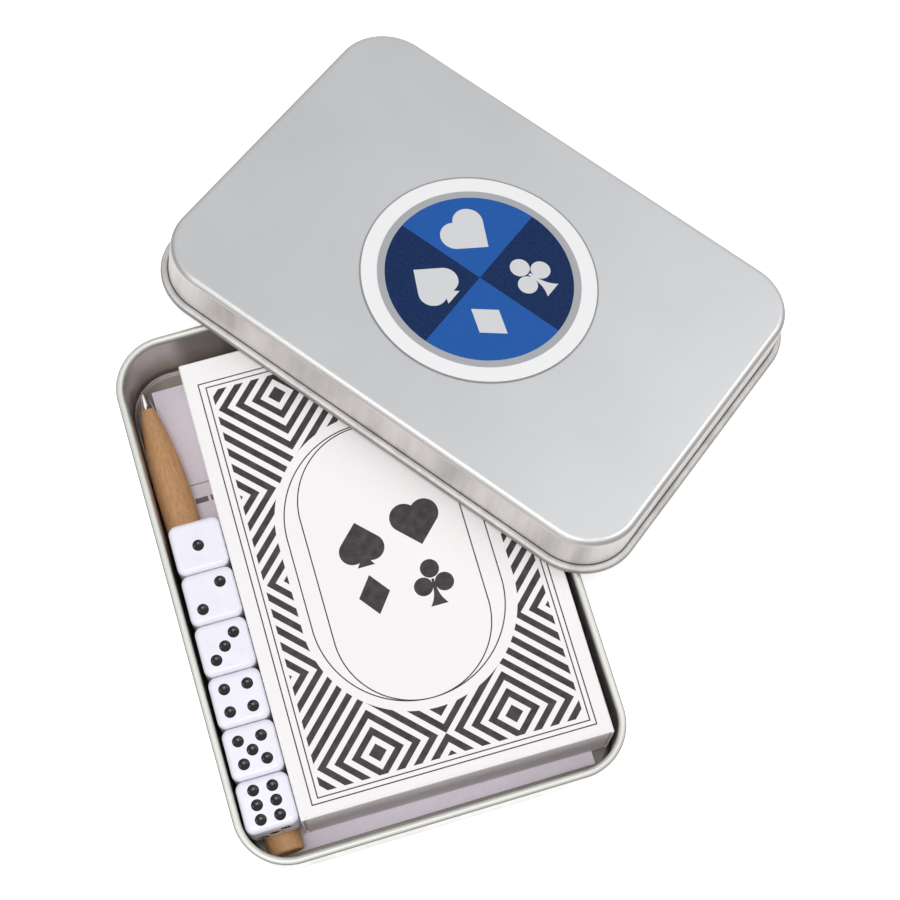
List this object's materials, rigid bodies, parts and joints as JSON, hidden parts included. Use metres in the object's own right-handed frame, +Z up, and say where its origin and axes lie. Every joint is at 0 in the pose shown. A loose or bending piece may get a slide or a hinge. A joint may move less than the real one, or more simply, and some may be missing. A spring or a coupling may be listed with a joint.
{
  "type": "playing card and dice box",
  "caption": "Flat rounded metal tin with a loose lid, holding a carton of playing cards, a row of dice, a short pen and a folded leaflet.",
  "frame": {"origin": "centre of the tray's flat underside", "axes": "+X across the tray, towards the side where the lid lies; +Y along the tray, away from the viewer; +Z up out of the tray"},
  "size_m": [0.131, 0.1583, 0.0281],
  "materials": {
    "tinplate_tray": "bare rolled tinplate, satin, with a faint bluish grain on the floor",
    "tinplate_lid": "bare rolled tinplate, soft satin",
    "label": null,
    "leaflet_paper": "pale lilac matte paper",
    "carton_board": null,
    "cards": "coated white card",
    "dice": "white plastic with glossy black pips",
    "pen_barrel": "unprinted brown paper barrel, matte",
    "pen_metal": "bright plated cone",
    "pen_plug": "matte",
    "refill_tube": "satin tube",
    "pen_tip": "turned brass"
  },
  "bodies": {
    "tray": {"tin_base": "tinplate_tray"},
    "leaflet": {"leaflet": "leaflet_paper"},
    "pen": {"pen_barrel": "pen_barrel", "pen_cone": "pen_metal", "pen_plug": "pen_plug", "pen_refill": "refill_tube", "pen_point": "pen_tip"},
    "carton": {"carton_body": "carton_board", "carton_flap": "carton_board", "cards_spades": "cards", "cards_hearts": "cards", "cards_clubs": "cards", "cards_diamonds": "cards", "cards_jokers": "cards"},
    "lid": {"tin_lid": "tinplate_lid", "lid_label": "label"},
    "die_1": {"die_1": "dice"},
    "die_2": {"die_2": "dice"},
    "die_3": {"die_3": "dice"},
    "die_4": {"die_4": "dice"},
    "die_5": {"die_5": "dice"},
    "die_6": {"die_6": "dice"}
  },
  "joints": [
    {"name": "leaflet_lift", "type": "slide", "parent": "tray", "child": "leaflet", "axis": [0, 0, 1], "range_m": [0, 0.025]},
    {"name": "pen_lift", "type": "slide", "parent": "leaflet", "child": "pen", "axis": [0, 0, 1], "range_m": [0, 0.025]},
    {"name": "die_1_lift", "type": "slide", "parent": "pen", "child": "die_1", "axis": [0, 0, 1], "range_m": [0, 0.015]},
    {"name": "die_2_lift", "type": "slide", "parent": "pen", "child": "die_2", "axis": [0, 0, 1], "range_m": [0, 0.015]},
    {"name": "die_3_lift", "type": "slide", "parent": "pen", "child": "die_3", "axis": [0, 0, 1], "range_m": [0, 0.015]},
    {"name": "die_4_lift", "type": "slide", "parent": "pen", "child": "die_4", "axis": [0, 0, 1], "range_m": [0, 0.015]},
    {"name": "die_5_lift", "type": "slide", "parent": "pen", "child": "die_5", "axis": [0, 0, 1], "range_m": [0, 0.015]},
    {"name": "die_6_lift", "type": "slide", "parent": "pen", "child": "die_6", "axis": [0, 0, 1], "range_m": [0, 0.015]},
    {"name": "carton_lift", "type": "slide", "parent": "leaflet", "child": "carton", "axis": [0, 0, 1], "range_m": [0, 0.025]},
    {"name": "lid_lift", "type": "slide", "parent": "carton", "child": "lid", "axis": [0, 0, 1], "range_m": [0, 0.025]}
  ]
}
